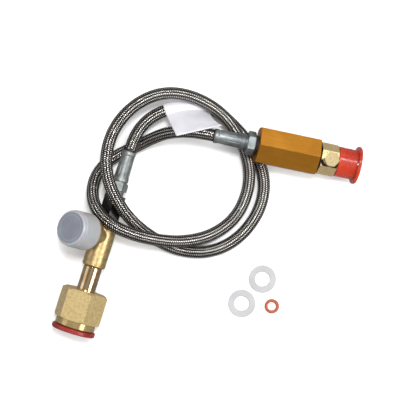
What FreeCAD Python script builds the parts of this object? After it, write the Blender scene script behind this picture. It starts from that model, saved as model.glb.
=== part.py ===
import FreeCAD, Part
import math
import os

# Braided gas hose with a tank nut and side outlet on one end and a valve housing on the other.
# Millimetres, +Z up, the floor at Z = 0. X runs along the longest side of the layout.

# Hose
hose_dia = 8.0
hose_first_run = 10.0

# Clearances
fit_gap = 0.1
slip_gap = 0.3
seat_gap = 0.1

# Where each end assembly lies: mouth of its ferrule, heading in plan and pitch, in degrees
machine_origin = (5.0, 66.5, 25.0)
machine_heading = -11.5
machine_dip = 6.7
tank_origin = (-53.25, 56.0, 14.5)
tank_heading = -107.45
tank_dip = -0.6

# Crimped ferrules, the same form on both ends
ferrule_length = 21.5
ferrule_mouth_dia = 9.9
ferrule_root_dia = 10.9
ferrule_wall = 0.9
ferrule_collar = 2.0
crimp_count = 8
crimp_depth = 0.35

# Hose stems
stem_bore = 3.0
stem_tail_dia = 4.6
stem_neck = 1.4
stem_neck_dia = 9.6
machine_stem_flats = 14.3
machine_stem_hex = 5.2
tank_stem_flats = 11.1
tank_stem_hex = 6.0
tank_stem_collar = 3.2
tank_stem_collar_dia = 9.9
stem_thread_dia = 9.6
stem_thread_length = 8.0
stem_seal_cord = 1.8

# Valve housing on the machine end
housing_flats = 23.8
housing_length = 42.3
housing_chamber_dia = 11.0
housing_port_depth = 10.0
outlet_port_depth = 12.0
edge_break = 0.8

# Outlet valve
outlet_hex_flats = 19.05
outlet_hex_length = 12.4
outlet_neck = 1.0
outlet_tail_dia = 15.8
outlet_thread_dia = 17.8
outlet_thread_length = 11.6
outlet_nose_dia = 12.4
outlet_nose_length = 1.4
outlet_seal_cord = 1.5
valve_bore_dia = 6.4
valve_seat_depth = 13.0
pin_hole_dia = 3.2
pin_dia = 2.2
pin_head_dia = 5.8
pin_head_length = 2.2
pin_recess = 1.2
pin_travel = 2.0
valve_spring_wire = 0.6
valve_spring_dia = 5.2
valve_spring_turns = 5
valve_spring_length = 9.0

# Burst plug in the outlet valve
burst_hex_flats = 9.5
burst_hex_height = 3.6
burst_washer_dia = 10.4
burst_washer_height = 0.8
burst_thread_dia = 6.0
burst_depth = 4.6
burst_disc_height = 0.4
burst_gasket_height = 0.6
burst_vent_dia = 1.8

# Red cap on the machine end
machine_cap_dia = 20.6
machine_cap_wall = 1.1
machine_cap_length = 15.4
machine_cap_flange_dia = 26.0
machine_cap_flange = 2.3

# Coupling between the tank stem and the tee
coupling_flats = 14.0
coupling_length = 19.5
coupling_chamfer = 0.9

# Tee body with its side outlet
tee_dia = 16.0
tee_length = 32.0
tee_groove_depth = 0.4
tee_tail_length = 8.0
tee_bore = 5.0
side_port_offset = 10.2
side_port_lift = 56.0
side_neck_dia = 13.6
side_collar_start = 16.0
side_collar_dia = 23.6
side_collar_height = 2.4
side_thread_dia = 20.9
side_port_reach = 33.4
side_seat_dia = 12.0
side_seat_depth = 3.0
side_bore = 4.2

# Translucent cap on the side outlet
side_cap_wall = 2.0
side_cap_end_gap = 0.6
side_cap_reach = side_port_reach + side_cap_end_gap + side_cap_wall
side_cap_rim_start = 19.0
side_cap_step = 0.95
side_cap_ring_height = 2.2

# Nipple and nut that take the tank valve
nipple_dia = 12.8
nipple_bore = 4.4
nipple_free = 17.4
nipple_seat_dia = 17.4
nipple_seat_length = 3.2
nipple_nose_length = 2.2
nut_flats = 28.6
nut_hex_length = 21.4
nut_collar_dia = 27.6
nut_collar_length = 4.8
nut_floor = 6.2
nut_thread_dia = 20.9
nut_chamfer = 2.4

# Red plug in the nut
plug_flange_dia = 30.5
plug_flange = 3.2
plug_wall = 1.4
plug_depth = 10.0

# Tag
tag_width = 33.0
tag_length = 25.5
tag_sheet = 0.3
tag_clear = 0.25
tag_lift_left = 43.5
tag_lift_right = 57.5
tag_sections = 7
tag_edge_x = 2.5

# Loose spares on the floor
washer_dia = 19.0
washer_bore = 10.5
washer_thickness = 1.8
washer_places = ((39.0, -32.5), (24.5, -49.5))
o_ring_dia = 10.1
o_ring_bore = 5.9
o_ring_place = (45.5, -51.5)

# Route of the hose from the machine ferrule to the tank ferrule, between the first and last runs.
# The runs before the corners in hose_cuts part it where it comes down to the floor and leaves it again.
hose_cuts = (4, 7, 14, 17, 29, 36)
hose_route = (
    (-16.0, 69.5, 24.9), (-28.0, 68.5, 19.4), (-39.5, 64.5, 10.4), (-50.0, 59.5, 5.2),
    (-60.5, 55.0, 4.4), (-69.5, 49.0, 7.2), (-77.0, 39.0, 12.2), (-79.0, 26.5, 18.8),
    (-74.5, 14.5, 25.4), (-64.0, 5.0, 29.2), (-50.0, -1.0, 27.6), (-34.0, -5.0, 19.8),
    (-16.5, -6.5, 10.6), (3.0, -2.5, 4.8), (20.0, 9.5, 4.1), (29.0, 28.0, 5.0),
    (30.0, 47.5, 8.6), (23.0, 66.0, 12.4), (10.0, 83.5, 15.0), (-10.5, 94.5, 19.0),
    (-30.5, 96.5, 20.0), (-49.0, 88.5, 20.8), (-63.0, 73.0, 22.0), (-69.0, 54.5, 23.8),
    (-67.5, 36.5, 26.0), (-61.0, 21.5, 27.9), (-51.0, 7.5, 21.6), (-36.5, -4.5, 9.2),
    (-18.5, -13.0, 4.1), (2.5, -14.0, 4.0), (22.5, -4.5, 4.0), (37.5, 15.5, 4.0),
    (41.0, 37.0, 4.0), (33.0, 58.0, 4.0), (18.0, 76.0, 4.3), (6.0, 85.0, 6.8),
    (-7.5, 88.0, 9.9), (-21.5, 86.5, 12.4), (-34.0, 82.5, 13.9), (-43.5, 75.5, 14.4),
)

X = FreeCAD.Vector(1, 0, 0)
Z = FreeCAD.Vector(0, 0, 1)
ORIGIN = FreeCAD.Vector(0, 0, 0)


def vec(x, y=0.0, z=0.0):
    return FreeCAD.Vector(x, y, z)


def end_placement(origin, heading, dip):
    """Place of an end assembly: its own X runs out of the ferrule's mouth towards the fittings."""
    return FreeCAD.Placement(vec(*origin), FreeCAD.Rotation(heading, dip, 0))


def turned(profile):
    """Solid of revolution about X from points (station, radius)."""
    points = [vec(x, 0, r) for x, r in profile]
    face = Part.Face(Part.makePolygon(points + points[:1]))
    return face.revolve(ORIGIN, X, 360)


def rod(start, end, dia):
    return Part.makeCylinder(dia / 2, end - start, vec(start), X)


def across_corners(flats):
    return flats / math.cos(math.radians(30))


def hex_bar(start, end, flats, roll=0.0):
    """Hexagonal bar about X with a flat on top, turned by roll degrees."""
    radius = across_corners(flats) / 2
    angles = [math.radians(60 * i + roll) for i in range(6)]
    points = [vec(start, radius * math.cos(a), radius * math.sin(a)) for a in angles]
    return Part.Face(Part.makePolygon(points + points[:1])).extrude(vec(end - start))


def chamfered_hex(start, end, flats, start_drop, end_drop, roll=0.0):
    """Hexagonal bar whose corners are turned down by start_drop and end_drop at its ends."""
    corner = across_corners(flats) / 2
    slope = math.tan(math.radians(30))
    envelope = turned((
        (start, 0), (start, corner - start_drop), (start + start_drop * slope, corner),
        (end - end_drop * slope, corner), (end, corner - end_drop), (end, 0),
    ))
    return hex_bar(start, end, flats, roll).common(envelope)


def ring_seal(middle, mean_dia, cord):
    return Part.makeTorus(mean_dia / 2, cord / 2, vec(middle), X)


def coil_spring(start, end, mean_dia, wire, turns):
    """Compression spring about X from three-point arcs of a quarter turn each."""
    quarters = turns * 4
    rise = (end - start - wire) / quarters
    radius = mean_dia / 2

    def at(quarter):
        angle = math.pi / 2 * quarter
        return vec(start + wire / 2 + rise * quarter, radius * math.cos(angle), radius * math.sin(angle))

    arcs = [Part.Arc(at(i), at(i + 0.5), at(i + 1)).toShape() for i in range(quarters)]
    tangent = (at(0.01) - at(0)).normalize()
    section = Part.Wire(Part.makeCircle(wire / 2, at(0), tangent))
    spring = Part.Wire(arcs).makePipeShell([section], True, False)
    return spring


def save(name, shape, placement=None):
    solid = shape.copy()
    if placement is not None:
        solid.Placement = placement.multiply(solid.Placement)
    solid.exportStep("parts/%s.step" % name)
    print("%-20s volume %9.1f mm3  valid %s  solids %d" % (name, solid.Volume, solid.isValid(), len(solid.Solids)))
    return solid


def crimped_ferrule():
    """Sleeve pressed over the hose end: open mouth, eight crimp grooves, a turned-in root."""
    mouth = ferrule_mouth_dia / 2
    root = ferrule_root_dia / 2
    inside = hose_dia / 2 + fit_gap
    neck = stem_neck_dia / 2
    outer = turned((
        (0, inside), (0, mouth - 0.3), (0.6, mouth), (2.4, mouth), (3.2, mouth - crimp_depth),
        (ferrule_length - ferrule_collar - 1.5, root - crimp_depth), (ferrule_length - ferrule_collar, root),
        (ferrule_length - 0.4, root), (ferrule_length, root - 0.4), (ferrule_length, stem_tail_dia / 2 + fit_gap),
        (ferrule_length - ferrule_wall, stem_tail_dia / 2 + fit_gap), (ferrule_length - ferrule_wall, inside),
    ))
    groove_length = ferrule_length - ferrule_collar - 5.5
    for index in range(crimp_count):
        groove = Part.makeCylinder(0.5, groove_length, vec(3.8, 0, (mouth + neck) / 2 + 0.28), X)
        outer = outer.cut(groove.rotate(ORIGIN, X, 360 / crimp_count * (index + 0.5)))
    return outer


def hose_tail():
    """Last stretch of hose, held inside the ferrule around the stem's barbed tail."""
    length = ferrule_length - ferrule_wall - fit_gap
    tail = rod(0, length, hose_dia)
    return tail.cut(rod(-1, length + 1, stem_tail_dia + 2 * fit_gap))


def stem_tail_profile():
    """Half profile of the barbed tail that the ferrule grips, up to the neck."""
    tail = stem_tail_dia / 2
    barb = tail - 0.25
    points = [(1.0, stem_bore / 2), (1.0, barb)]
    for index in range(4):
        start = 2.0 + index * 4.2
        points += [(start, barb), (start + 3.2, tail), (start + 3.2, barb)]
    points += [(ferrule_length - ferrule_wall, tail), (ferrule_length + fit_gap / 2, tail)]
    return points


def machine_end():
    """Everything rigid and moving on the machine end, along its own X."""
    bore = stem_bore / 2
    neck_start = ferrule_length + fit_gap / 2
    hex_start = neck_start + stem_neck
    hex_end = hex_start + machine_stem_hex
    housing_start = hex_end + stem_seal_cord + 0.4
    housing_end = housing_start + housing_length
    thread_end = housing_start + stem_thread_length
    seat_radius = stem_thread_dia / 2

    stem = turned(stem_tail_profile() + [
        (neck_start, stem_neck_dia / 2), (hex_start, stem_neck_dia / 2), (hex_start, 3.6),
        (thread_end - 0.8, 3.6), (thread_end - 0.8, bore),
    ])
    stem_hex = chamfered_hex(hex_start, hex_end, machine_stem_flats, 0.8, 0.8, 0.0)
    thread = turned((
        (hex_end, bore), (hex_end, seat_radius - 0.6), (housing_start, seat_radius - 0.6),
        (housing_start + 0.4, seat_radius), (thread_end - 0.8, seat_radius), (thread_end, seat_radius - 0.8),
        (thread_end, bore),
    ))
    stem = stem.fuse([stem_hex.cut(rod(hex_start - 1, hex_end + 1, stem_bore)), thread]).removeSplitter()
    seal_mean = stem_thread_dia - 1.2 + 2 * fit_gap + stem_seal_cord
    seal = ring_seal(hex_end + fit_gap + stem_seal_cord / 2, seal_mean, stem_seal_cord)

    housing = chamfered_hex(housing_start, housing_end, housing_flats, edge_break, edge_break, 30.0)
    chamber_start = housing_start + housing_port_depth
    chamber_end = housing_end - outlet_port_depth
    housing = housing.cut(turned((
        (housing_start - 1, 0), (housing_start - 1, seat_radius + fit_gap), (chamber_start, seat_radius + fit_gap),
        (chamber_start, housing_chamber_dia / 2), (chamber_end, housing_chamber_dia / 2),
        (chamber_end, outlet_tail_dia / 2 + fit_gap), (housing_end + 1, outlet_tail_dia / 2 + fit_gap),
        (housing_end + 1, 0),
    )))

    hex_face = housing_end + outlet_neck
    outlet_hex_end = hex_face + outlet_hex_length
    thread_stop = outlet_hex_end + outlet_thread_length
    nose_end = thread_stop + outlet_nose_length
    tail_start = chamber_end + seat_gap
    valve_seat = outlet_hex_end + valve_seat_depth - outlet_nose_length - 4.0
    tail = outlet_tail_dia / 2
    thread_radius = outlet_thread_dia / 2
    nose = outlet_nose_dia / 2
    bore_radius = valve_bore_dia / 2
    hole = pin_hole_dia / 2
    valve = turned((
        (tail_start, bore_radius), (tail_start, tail - 1.0), (tail_start + 1.0, tail), (housing_end - 1.0, tail),
        (housing_end, tail - 0.6), (hex_face, tail - 0.6), (hex_face, 9.0), (outlet_hex_end, 9.0),
        (outlet_hex_end, thread_radius - 0.8), (outlet_hex_end + 1.2, thread_radius - 0.8),
        (outlet_hex_end + 1.8, thread_radius), (thread_stop - 1.0, thread_radius), (thread_stop, thread_radius - 1.0),
        (thread_stop, nose), (nose_end, nose), (nose_end, 3.4), (nose_end - pin_recess, hole),
        (valve_seat + 1.2, hole), (valve_seat, bore_radius),
    ))
    valve_hex = chamfered_hex(hex_face, outlet_hex_end, outlet_hex_flats, 0.9, 0.9, 0.0)
    valve = valve.fuse(valve_hex.cut(rod(hex_face - 1, outlet_hex_end + 1, 12.0))).removeSplitter()
    burst_station = (hex_face + outlet_hex_end) / 2 + 0.6
    flat = outlet_hex_flats / 2
    pocket_floor = flat - burst_depth - burst_disc_height - burst_gasket_height - seat_gap
    pocket = Part.makeCylinder(burst_thread_dia / 2 + fit_gap, 20, vec(burst_station, 0, pocket_floor), Z)
    vent = Part.makeCylinder(burst_vent_dia / 2, flat, vec(burst_station, 0, 0), Z)
    # The vent opens into the valve's bore on its near side
    valve = valve.cut(pocket).cut(vent)
    ring_inner = burst_thread_dia / 2 - 1.2
    gasket = Part.makeCylinder(burst_thread_dia / 2, burst_gasket_height, vec(burst_station, 0, pocket_floor), Z)
    gasket = gasket.cut(Part.makeCylinder(ring_inner, 9, vec(burst_station, 0, pocket_floor - 1), Z))
    disc_floor = pocket_floor + burst_gasket_height
    disc = Part.makeCylinder(burst_thread_dia / 2, burst_disc_height, vec(burst_station, 0, disc_floor), Z)
    shank_floor = disc_floor + burst_disc_height
    plug = Part.makeCylinder(burst_thread_dia / 2, flat - shank_floor, vec(burst_station, 0, shank_floor), Z)
    plug = plug.fuse([
        Part.makeCylinder(burst_washer_dia / 2, burst_washer_height, vec(burst_station, 0, flat), Z),
        burst_head(burst_station, flat + burst_washer_height),
    ]).removeSplitter()
    plug = plug.cut(Part.makeCylinder(burst_vent_dia / 2, 6, vec(burst_station, 0, shank_floor), Z))
    cross_height = flat + burst_washer_height + burst_hex_height / 2
    cross_start = vec(burst_station, -burst_hex_flats, cross_height)
    plug = plug.cut(Part.makeCylinder(burst_vent_dia / 2, 2 * burst_hex_flats, cross_start, vec(0, 1)))

    pin_tip = nose_end - 0.4
    head_end = valve_seat - slip_gap
    head_start = head_end - pin_head_length
    pin = turned((
        (head_start - 1.6, 0), (head_start - 1.6, 1.6), (head_start, 1.6), (head_start, pin_head_dia / 2),
        (head_end, pin_head_dia / 2), (head_end, pin_dia / 2), (pin_tip - 0.4, pin_dia / 2),
        (pin_tip, pin_dia / 2 - 0.4), (pin_tip, 0),
    ))
    spring_end = head_start - seat_gap
    spring_start = spring_end - valve_spring_length
    mean = valve_spring_dia - valve_spring_wire
    spring = coil_spring(spring_start, spring_end, mean, valve_spring_wire, valve_spring_turns)
    keeper_end = spring_start - pin_travel - slip_gap
    keeper = rod(keeper_end - 3.0, keeper_end, valve_bore_dia - 2 * fit_gap).cut(rod(0, 120, 2.6))
    seal_dia = outlet_nose_dia + outlet_seal_cord + 2 * fit_gap
    outlet_seal = ring_seal(thread_stop + fit_gap + outlet_seal_cord / 2, seal_dia, outlet_seal_cord)

    cap_start = outlet_hex_end + slip_gap
    cap_end = cap_start + machine_cap_length
    barrel = machine_cap_dia / 2
    flange = machine_cap_flange_dia / 2
    inside = barrel - machine_cap_wall
    cap_floor = cap_end - machine_cap_flange + 0.3
    cap = turned((
        (cap_start, inside), (cap_start, barrel - 0.3), (cap_start + 0.3, barrel),
        (cap_end - machine_cap_flange, barrel), (cap_end - machine_cap_flange, flange - 0.4),
        (cap_end - machine_cap_flange + 0.4, flange), (cap_end - 0.4, flange), (cap_end, flange - 0.4),
        (cap_end, 0), (cap_floor, 0), (cap_floor, inside),
    ))
    print("machine end: housing %.1f to %.1f, hex to %.1f, cap end %.1f" % (
        housing_start, housing_end, outlet_hex_end, cap_end))
    return {
        "machine_ferrule": crimped_ferrule(), "machine_hose_tail": hose_tail(), "machine_stem": stem,
        "stem_seal": seal, "valve_housing": housing, "outlet_valve": valve, "burst_gasket": gasket,
        "burst_disc": disc, "burst_plug": plug, "valve_pin": pin, "valve_spring": spring,
        "spring_keeper": keeper, "outlet_seal": outlet_seal, "machine_cap": cap,
    }


def burst_head(station, floor):
    """Hexagonal head of the burst plug with its top corners turned down."""
    corner = across_corners(burst_hex_flats) / 2
    points = [
        vec(station + corner * math.cos(math.radians(60 * i)), corner * math.sin(math.radians(60 * i)), floor)
        for i in range(6)
    ]
    head = Part.Face(Part.makePolygon(points + points[:1])).extrude(vec(0, 0, burst_hex_height))
    envelope = Part.makeCone(corner + burst_hex_height / 0.45, corner - 0.5, burst_hex_height,
                             vec(station, 0, floor), Z)
    return head.common(envelope)


def side_frame(port_station):
    """Placement of the side outlet: its own X leaves the tee square to it, lifted from the floor."""
    rotation = FreeCAD.Rotation(vec(1), vec(0, -math.cos(math.radians(side_port_lift)),
                                            math.sin(math.radians(side_port_lift))))
    return FreeCAD.Placement(vec(port_station), rotation)


def placed(shape, placement):
    copy = shape.copy()
    copy.Placement = placement.multiply(copy.Placement)
    return copy


def tank_end():
    """Everything rigid and moving on the tank end, along its own X."""
    bore = stem_bore / 2
    neck_start = ferrule_length + fit_gap / 2
    hex_start = neck_start + 0.6
    hex_end = hex_start + tank_stem_hex
    collar_end = hex_end + tank_stem_collar
    thread_radius = stem_thread_dia / 2
    thread_end = collar_end + stem_thread_length
    stem = turned(stem_tail_profile() + [
        (neck_start, stem_neck_dia / 2), (hex_start, stem_neck_dia / 2), (hex_start, 3.6), (hex_end, 3.6),
        (hex_end, tank_stem_collar_dia / 2), (collar_end, tank_stem_collar_dia / 2),
        (collar_end, thread_radius - 0.5), (collar_end + 1.0, thread_radius), (thread_end - 0.8, thread_radius),
        (thread_end, thread_radius - 0.8), (thread_end, bore),
    ])
    stem_hex = chamfered_hex(hex_start, hex_end, tank_stem_flats, 0.8, 0.8, 0.0)
    stem = stem.fuse(stem_hex.cut(rod(hex_start - 1, hex_end + 1, stem_bore))).removeSplitter()

    coupling_start = collar_end
    coupling_end = coupling_start + coupling_length
    coupling = chamfered_hex(coupling_start, coupling_end, coupling_flats, coupling_chamfer, coupling_chamfer, 30.0)
    web = (coupling_start + stem_thread_length + 1.0, coupling_end - tee_tail_length - 1.0)
    coupling = coupling.cut(turned((
        (coupling_start - 1, 0), (coupling_start - 1, thread_radius + fit_gap), (web[0], thread_radius + fit_gap),
        (web[0], tee_bore / 2), (web[1], tee_bore / 2), (web[1], thread_radius + fit_gap),
        (coupling_end + 1, thread_radius + fit_gap), (coupling_end + 1, 0),
    )))

    tee_end = coupling_end + tee_length
    tee_start = coupling_end - tee_tail_length
    radius = tee_dia / 2
    pocket = tee_end - 9.0
    tee = turned((
        (tee_start, 0), (tee_start, thread_radius - 0.8), (tee_start + 0.8, thread_radius),
        (coupling_end - 1.0, thread_radius), (coupling_end, thread_radius - 0.5), (coupling_end, radius - 0.6),
        (coupling_end + 0.6, radius), (coupling_end + 3.4, radius), (coupling_end + 3.6, radius - tee_groove_depth),
        (coupling_end + 4.6, radius - tee_groove_depth), (coupling_end + 4.8, radius), (tee_end - 0.8, radius),
        (tee_end, radius - 0.8), (tee_end, 0),
    ))
    port_station = coupling_end + side_port_offset
    port_place = side_frame(port_station)
    collar_top = side_collar_start + side_collar_height
    side_radius = side_thread_dia / 2
    port = turned((
        (0, 0), (0, side_neck_dia / 2), (side_collar_start - 2.4, side_neck_dia / 2),
        (side_collar_start, side_collar_dia / 2 - 1.0), (side_collar_start + 0.3, side_collar_dia / 2),
        (collar_top, side_collar_dia / 2), (collar_top, side_radius - 0.9), (collar_top + 1.4, side_radius - 0.9),
        (collar_top + 2.0, side_radius), (side_port_reach - 1.2, side_radius), (side_port_reach, side_radius - 1.2),
        (side_port_reach, side_seat_dia / 2), (side_port_reach - side_seat_depth, side_seat_dia / 2 - 1.0),
        (side_port_reach - side_seat_depth, 0),
    ))
    side_hole = placed(rod(0, side_port_reach + 1, side_bore), port_place)
    side_outlet = placed(port, port_place).cut(rod(coupling_end, tee_end, tee_dia + 2 * seat_gap)).cut(side_hole)
    tee = tee.cut(rod(tee_start - 1, tee_end + 1, tee_bore))
    tee = tee.cut(rod(pocket, tee_end + 1, nipple_dia - 3.0 + 2 * fit_gap)).cut(side_hole)

    nut_start = tee_end + nipple_free
    nut_hex_end = nut_start + nut_hex_length
    nut_end = nut_hex_end + nut_collar_length
    seat_start = nut_start + nut_floor + slip_gap
    seat_end = seat_start + nipple_seat_length
    nose = seat_end + nipple_nose_length
    shank = nipple_dia / 2
    nipple = turned((
        (pocket + 0.5, nipple_bore / 2), (pocket + 0.5, shank - 1.5), (tee_end + seat_gap, shank - 1.5),
        (tee_end + seat_gap, shank - 0.5), (tee_end + seat_gap + 0.5, shank), (seat_start, shank),
        (seat_start, nipple_seat_dia / 2), (seat_end - 0.6, nipple_seat_dia / 2), (seat_end, nipple_seat_dia / 2 - 0.6),
        (seat_end, washer_bore / 2 - slip_gap), (nose, washer_bore / 2 - slip_gap - 0.6), (nose, nipple_bore / 2),
    ))

    nut_thread = nut_thread_dia / 2
    nut = chamfered_hex(nut_start, nut_hex_end, nut_flats, nut_chamfer, 1.6, 9.5)
    collar = turned((
        (nut_hex_end - 1.0, 0), (nut_hex_end - 1.0, nut_collar_dia / 2), (nut_end - 0.5, nut_collar_dia / 2),
        (nut_end, nut_collar_dia / 2 - 0.5), (nut_end, 0),
    ))
    nut = nut.fuse(collar).removeSplitter().cut(turned((
        (nut_start - 1, 0), (nut_start - 1, shank + slip_gap), (nut_start + nut_floor, shank + slip_gap),
        (nut_start + nut_floor, nut_thread), (nut_end - 0.8, nut_thread), (nut_end, nut_thread + 0.8),
        (nut_end + 1, nut_thread + 0.8), (nut_end + 1, 0),
    )))

    plug_start = nut_end + slip_gap
    plug_inner_end = nut_end - plug_depth
    plug_radius = nut_thread - slip_gap
    flange = plug_flange_dia / 2
    plug_end = plug_start + plug_flange
    plug = turned((
        (plug_inner_end, plug_radius - plug_wall), (plug_inner_end, plug_radius - 0.5),
        (plug_inner_end + 0.8, plug_radius), (plug_start, plug_radius), (plug_start, flange - 0.5),
        (plug_start + 0.5, flange), (plug_end - 0.6, flange), (plug_end, flange - 0.6),
        (plug_end, 0), (plug_end - 1.8, 0), (plug_end - 1.8, plug_radius - plug_wall),
    ))

    cap_bore = side_radius + slip_gap
    cap_radius = cap_bore + side_cap_wall
    ring_radius = cap_radius - side_cap_step
    ring_start = side_cap_reach - side_cap_ring_height
    side_cap = turned((
        (side_cap_rim_start, cap_bore), (side_cap_rim_start, cap_radius - 0.4),
        (side_cap_rim_start + 0.4, cap_radius), (ring_start - 1.0, cap_radius - 0.3),
        (ring_start - 0.4, ring_radius), (ring_start, ring_radius), (ring_start + 0.4, ring_radius + 0.4),
        (side_cap_reach - 0.8, ring_radius + 0.2), (side_cap_reach, ring_radius - 0.8), (side_cap_reach, 0),
        (side_cap_reach - side_cap_wall, 0),
        (side_cap_reach - side_cap_wall, cap_bore),
    ))
    print("tank end: coupling %.1f to %.1f, tee to %.1f, nut %.1f to %.1f, plug end %.1f" % (
        coupling_start, coupling_end, tee_end, nut_start, nut_end, plug_end))
    return {
        "tank_ferrule": crimped_ferrule(), "tank_hose_tail": hose_tail(), "tank_stem": stem,
        "coupling": coupling, "tee_body": tee, "side_outlet": side_outlet, "tank_nipple": nipple,
        "tank_nut": nut, "nut_plug": plug, "side_cap": placed(side_cap, port_place),
    }, port_place


def full_route(machine_place, tank_place):
    """All route points: the ferrules' mouths, a straight run out of each, and the points between."""
    start = machine_place.multVec(vec(0))
    first = machine_place.multVec(vec(-hose_first_run))
    last = tank_place.multVec(vec(-hose_first_run))
    end = tank_place.multVec(vec(0))
    return [start, first] + [vec(*point) for point in hose_route] + [last, end]


def hose_stretches(points):
    """Straight runs joined by tangent arcs, each as large as its two runs allow, parted at hose_cuts.

    Gives each stretch as its edges, its length, where it starts and which way it goes there."""
    stretches = []
    edges = []
    radii = []
    length = 0.0
    here = start = points[0]
    heading = points[1] - points[0]
    for index, (before, corner, after) in enumerate(zip(points, points[1:], points[2:])):
        arrive = (corner - before).normalize()
        leave = (after - corner).normalize()
        turn = arrive.getAngle(leave)
        reach = 0.45 * min((corner - before).Length, (after - corner).Length)
        radius = reach / math.tan(turn / 2)
        radii.append(radius)
        arc_start = corner - arrive * reach
        arc_end = corner + leave * reach
        if index in hose_cuts:
            cut = (here + arc_start) * 0.5
            edges.append(Part.LineSegment(here, cut).toShape())
            stretches.append((edges, length + (cut - here).Length, start, heading))
            edges, length, here, start, heading = [], 0.0, cut, cut, arrive
        inward = (leave - arrive).normalize()
        middle = corner + inward * (radius / math.cos(turn / 2) - radius)
        edges.append(Part.LineSegment(here, arc_start).toShape())
        edges.append(Part.Arc(arc_start, middle, arc_end).toShape())
        length += (arc_start - here).Length + radius * turn
        here = arc_end
    edges.append(Part.LineSegment(here, points[-1]).toShape())
    stretches.append((edges, length + (points[-1] - here).Length, start, heading))
    print("hose radii", " ".join("%.0f" % radius for radius in radii))
    print("hose smallest radius %.1f, length %.1f" % (min(radii), sum(stretch[1] for stretch in stretches)))
    return stretches


def hose_solid(edges, length, start, heading):
    section = Part.Wire(Part.makeCircle(hose_dia / 2, start, heading))
    tube = Part.Wire(edges).makePipeShell([section], True, False)
    print("hose volume %.0f against section times length %.0f" % (
        tube.Volume, math.pi * hose_dia ** 2 / 4 * length))
    return tube


def tag_outlines(centre, along, lift):
    """Closed outline of the tag across the hose, and of the hose's room in it."""
    side = along.cross(Z).normalize()
    if side.y > 0:
        side = side * -1
    up = side.cross(along)
    if up.z < 0:
        up = up * -1
    angle = math.radians(lift)
    inner = hose_dia / 2 + tag_clear
    radius = inner + tag_sheet
    spread = math.asin(tag_sheet / radius)

    def polar(distance, bearing):
        return centre + side * (distance * math.cos(bearing)) + up * (distance * math.sin(bearing))

    def half(distance, start, end):
        middle = polar(distance, (start + end) / 2)
        return Part.Arc(polar(distance, start), middle, polar(distance, end)).toShape()

    direction = side * math.cos(angle) + up * math.sin(angle)
    normal = side * -math.sin(angle) + up * math.cos(angle)
    tip = centre + direction * tag_length
    upper = polar(radius, angle + spread)
    lower = polar(radius, angle - spread)
    outline = Part.Wire([
        half(radius, angle + spread, angle + math.pi),
        half(radius, angle - math.pi, angle - spread),
        Part.LineSegment(lower, tip - normal * tag_sheet).toShape(),
        Part.LineSegment(tip - normal * tag_sheet, tip + normal * tag_sheet).toShape(),
        Part.LineSegment(tip + normal * tag_sheet, upper).toShape(),
    ])
    room = Part.Wire([half(inner, angle, angle + math.pi), half(inner, angle - math.pi, angle)])
    return outline, room


def tag_solid(edges):
    """Folded tag that follows the hose for its own width; one end starts at X = tag_edge_x."""
    points = Part.Wire(edges).discretize(Distance=0.5)
    last = max(i for i, point in enumerate(points) if point.x > tag_edge_x)
    sections = []
    rooms = []
    for index in range(tag_sections):
        share = index / (tag_sections - 1)
        at = last + int(round(share * tag_width / 0.5))
        along = (points[at + 1] - points[at - 1]).normalize()
        lift = tag_lift_right + (tag_lift_left - tag_lift_right) * share
        outline, room = tag_outlines(points[at], along, lift)
        sections.append(outline)
        rooms.append(room)
    return Part.makeLoft(sections, True, True).cut(Part.makeLoft(rooms, True, True))


def spares():
    """Two flat washers and one small O-ring, loose on the floor."""
    washers = []
    for x, y in washer_places:
        ring = Part.makeCylinder(washer_dia / 2, washer_thickness, vec(x, y), Z)
        washers.append(ring.cut(Part.makeCylinder(washer_bore / 2, 9, vec(x, y, -1), Z)))
    cord = (o_ring_dia - o_ring_bore) / 4
    mean = (o_ring_dia + o_ring_bore) / 4
    x, y = o_ring_place
    return Part.makeCompound(washers), Part.makeTorus(mean, cord, vec(x, y, cord), Z)


def main():
    os.makedirs("parts", exist_ok=True)
    machine_place = end_placement(machine_origin, machine_heading, machine_dip)
    tank_place = end_placement(tank_origin, tank_heading, tank_dip)
    for name, shape in machine_end().items():
        save(name, shape, machine_place)
    tank_pieces, port_place = tank_end()
    for name, shape in tank_pieces.items():
        save(name, shape, tank_place)
    route = full_route(machine_place, tank_place)
    stretches = hose_stretches(route)
    tubes = [hose_solid(*stretch) for stretch in stretches]
    save("hose_upper", Part.makeCompound(tubes[0:-1:2]))
    save("hose_floor", Part.makeCompound(tubes[1:-1:2]))
    save("hose_tank_side", tubes[-1])
    save("tag", tag_solid(stretches[-1][0]))
    washers, o_ring = spares()
    save("spare_washers", washers)
    save("spare_o_ring", o_ring)
    port = tank_place.multiply(port_place)
    for label, place in (("machine", machine_place), ("tank", tank_place), ("side port", port)):
        axis = place.Rotation.multVec(X)
        print("%s axis from %s along %s" % (label, tuple(round(v, 3) for v in place.Base),
                                            tuple(round(v, 5) for v in axis)))


main()
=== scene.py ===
"""Braided gas hose with its tank nut, tee and valve housing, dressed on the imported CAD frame."""

import logging
import math
from dataclasses import dataclass
from enum import Enum
from typing import Optional, Sequence, Union

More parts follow.
